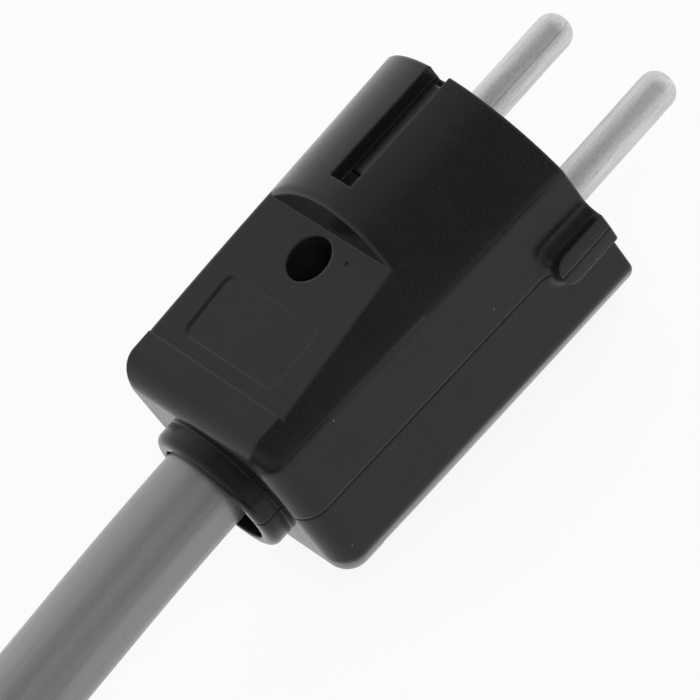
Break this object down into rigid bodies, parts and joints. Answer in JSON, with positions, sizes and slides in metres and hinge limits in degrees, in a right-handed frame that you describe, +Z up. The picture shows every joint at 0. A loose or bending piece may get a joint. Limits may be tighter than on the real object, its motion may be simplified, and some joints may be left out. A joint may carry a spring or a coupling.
{
  "type": "power cord",
  "caption": "Mains lead with a black rewireable earthed plug with round pins, a thick grey round cord wound in a tied coil, and an appliance connector.",
  "frame": {"origin": "on the floor under the middle of the plug, measured without the cord", "axes": "+Y along the pins, out of the plug's front face; +Z up, with the plug lying on its lower shell; +X across the pins"},
  "size_m": [0.1614, 0.2403, 0.038],
  "materials": {
    "housing_black": "fine matt moulded grain",
    "pin_nickel": "satin nickel over brass, drawn lengthwise",
    "strip_nickel": "satin nickel strip",
    "screw_steel": "zinc plated",
    "carrier_resin": "satin",
    "core_brown": "smooth",
    "core_blue": "smooth",
    "core_green_yellow": "green and yellow stripes",
    "ferrule_tin": "tinned",
    "cord_grey": "smooth drawn sheath with a soft sheen",
    "strap_black": "woven loop strap",
    "connector_black": "soft matt moulding",
    "insert_black": "hard satin",
    "contact_brass": "bright strip"
  },
  "bodies": {
    "root": {"upper_shell": "housing_black", "lower_shell": "housing_black", "line_pin": "pin_nickel", "neutral_pin": "pin_nickel", "earth_bracket": "strip_nickel", "line_terminal_screw": "screw_steel", "neutral_terminal_screw": "screw_steel", "earth_terminal_screw": "screw_steel", "earth_washer": "screw_steel", "clamp_screws": "screw_steel", "housing_screw": "screw_steel", "housing_nut": "screw_steel", "contact_carrier": "carrier_resin", "clamp_bar": "carrier_resin", "line_core": "core_brown", "neutral_core": "core_blue", "earth_core": "core_green_yellow", "core_ferrules": "ferrule_tin", "cord_tube": "cord_grey", "cord_coil": "cord_grey", "cord_tail": "cord_grey", "coil_ties": "strap_black", "connector_body": "connector_black", "connector_strain_relief": "connector_black", "connector_insert": "insert_black", "connector_line_contact": "contact_brass", "connector_neutral_contact": "contact_brass", "connector_earth_contact": "contact_brass"}
  },
  "joints": []
}
